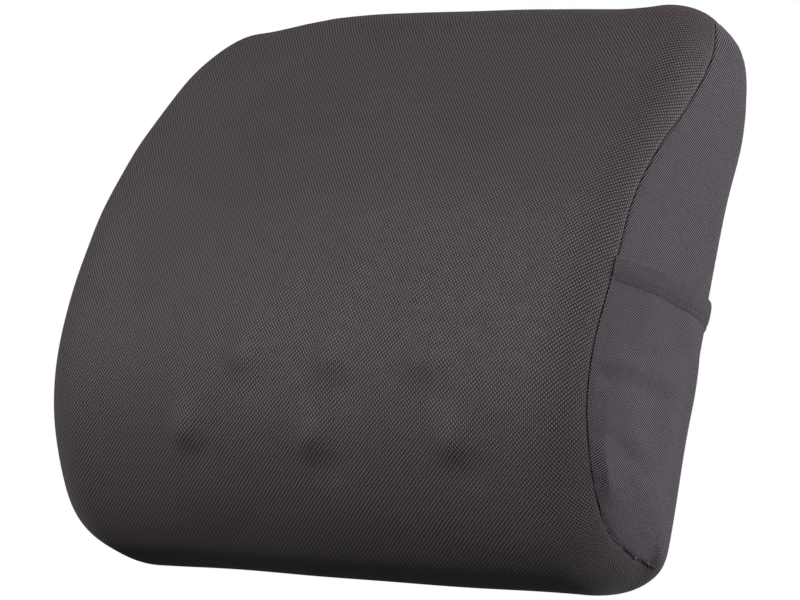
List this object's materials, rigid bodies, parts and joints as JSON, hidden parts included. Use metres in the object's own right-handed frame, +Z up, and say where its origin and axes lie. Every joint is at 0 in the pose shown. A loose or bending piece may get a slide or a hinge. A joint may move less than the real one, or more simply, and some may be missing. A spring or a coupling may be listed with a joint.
{
  "type": "lumbar support cushion",
  "caption": "Contoured lumbar support cushion in a zipped knit cover, with raised massage nodes in front, a side pocket and a strap across the back.",
  "frame": {"origin": "on the flat of the base, midway between the two side panels", "axes": "+Z up along the backrest, -Y out of the face the sitter leans on, +X towards the pocket side, which is the viewer's right when looking at the front"},
  "size_m": [0.3624, 0.1428, 0.329],
  "materials": {
    "knit_front": "matt knitted fabric",
    "knit_side": "matt knitted fabric",
    "knit_back": "matt woven fabric",
    "zip_tape": "woven tape",
    "zip_coil": "nylon",
    "zip_metal": "satin black",
    "elastic_web": "ribbed elastic",
    "thread": "sewing thread",
    "foam_soft": "open-cell foam",
    "foam_firm": "moulded foam",
    "plate_plastic": "moulded",
    "node_rubber": "matt",
    "housing_plastic": "moulded",
    "motor_steel": "drawn can",
    "shaft_steel": "polished",
    "weight_brass": "turned",
    "pad_rubber": "matt",
    "screw_steel": "zinc plated",
    "lead_pvc": "flexible",
    "case_plastic": "fine texture",
    "door_plastic": "fine texture",
    "cell_wrap": "plain wrap",
    "contact_nickel": "nickel plated",
    "switch_plastic": "moulded",
    "button_rubber": "matt"
  },
  "bodies": {
    "cushion": {"front_panel": "knit_front", "side_panel_left": "knit_side", "side_panel_right": "knit_side", "back_panel_upper": "knit_back", "back_panel_lower": "knit_back", "zipper_tape_upper": "zip_tape", "zipper_tape_lower": "zip_tape", "zipper_coil_upper": "zip_coil", "zipper_coil_lower": "zip_coil", "zipper_stops": "zip_metal", "chair_strap": "elastic_web", "strap_patches": "thread", "pocket_panel": "knit_side", "pocket_hem": "knit_side", "pocket_elastic": "elastic_web", "comfort_layer": "foam_soft", "foam_core": "foam_firm", "node_carrier": "plate_plastic", "massage_nodes": "node_rubber", "motor_housing_front_right": "housing_plastic", "motor_housing_rear_right": "housing_plastic", "motor_right": "motor_steel", "motor_housing_front_left": "housing_plastic", "motor_housing_rear_left": "housing_plastic", "motor_left": "motor_steel", "damping_pads": "pad_rubber", "housing_screws": "screw_steel", "motor_lead_right": "lead_pvc", "motor_lead_left": "lead_pvc", "battery_case": "case_plastic", "case_bezel": "case_plastic", "battery_cells": "cell_wrap", "contact_plates": "contact_nickel", "contact_springs": "contact_nickel", "case_screws": "screw_steel", "switch_body": "switch_plastic"},
    "zipper_slider": {"zipper_slider": "zip_metal"},
    "zipper_pull": {"zipper_pull": "zip_metal"},
    "rotor_right": {"motor_shaft_right": "shaft_steel", "eccentric_weight_right": "weight_brass"},
    "rotor_left": {"motor_shaft_left": "shaft_steel", "eccentric_weight_left": "weight_brass"},
    "battery_door": {"battery_door": "door_plastic"},
    "power_button": {"power_button": "button_rubber"}
  },
  "joints": [
    {"name": "zipper_slide", "type": "slide", "parent": "cushion", "child": "zipper_slider", "axis": [1, 0, 0], "range_m": [-0.276, 0]},
    {"name": "zipper_pull_hinge", "type": "hinge", "parent": "zipper_slider", "child": "zipper_pull", "pos_m": [0.138, 0.0728, 0.056], "axis": [0, 0, -1], "range_deg": [0, 170]},
    {"name": "motor_spin_right", "type": "hinge", "parent": "cushion", "child": "rotor_right", "pos_m": [0.062, -0.023, 0.105], "axis": [1, 0, 0], "continuous": true},
    {"name": "motor_spin_left", "type": "hinge", "parent": "cushion", "child": "rotor_left", "pos_m": [-0.048, -0.023, 0.105], "axis": [1, 0, 0], "continuous": true},
    {"name": "battery_door_slide", "type": "slide", "parent": "cushion", "child": "battery_door", "axis": [0, 0, 1], "range_m": [0, 0.058]},
    {"name": "power_button_press", "type": "slide", "parent": "cushion", "child": "power_button", "axis": [-1, 0, 0], "range_m": [0, 0.0015], "stiffness_N_per_m": 1200}
  ]
}
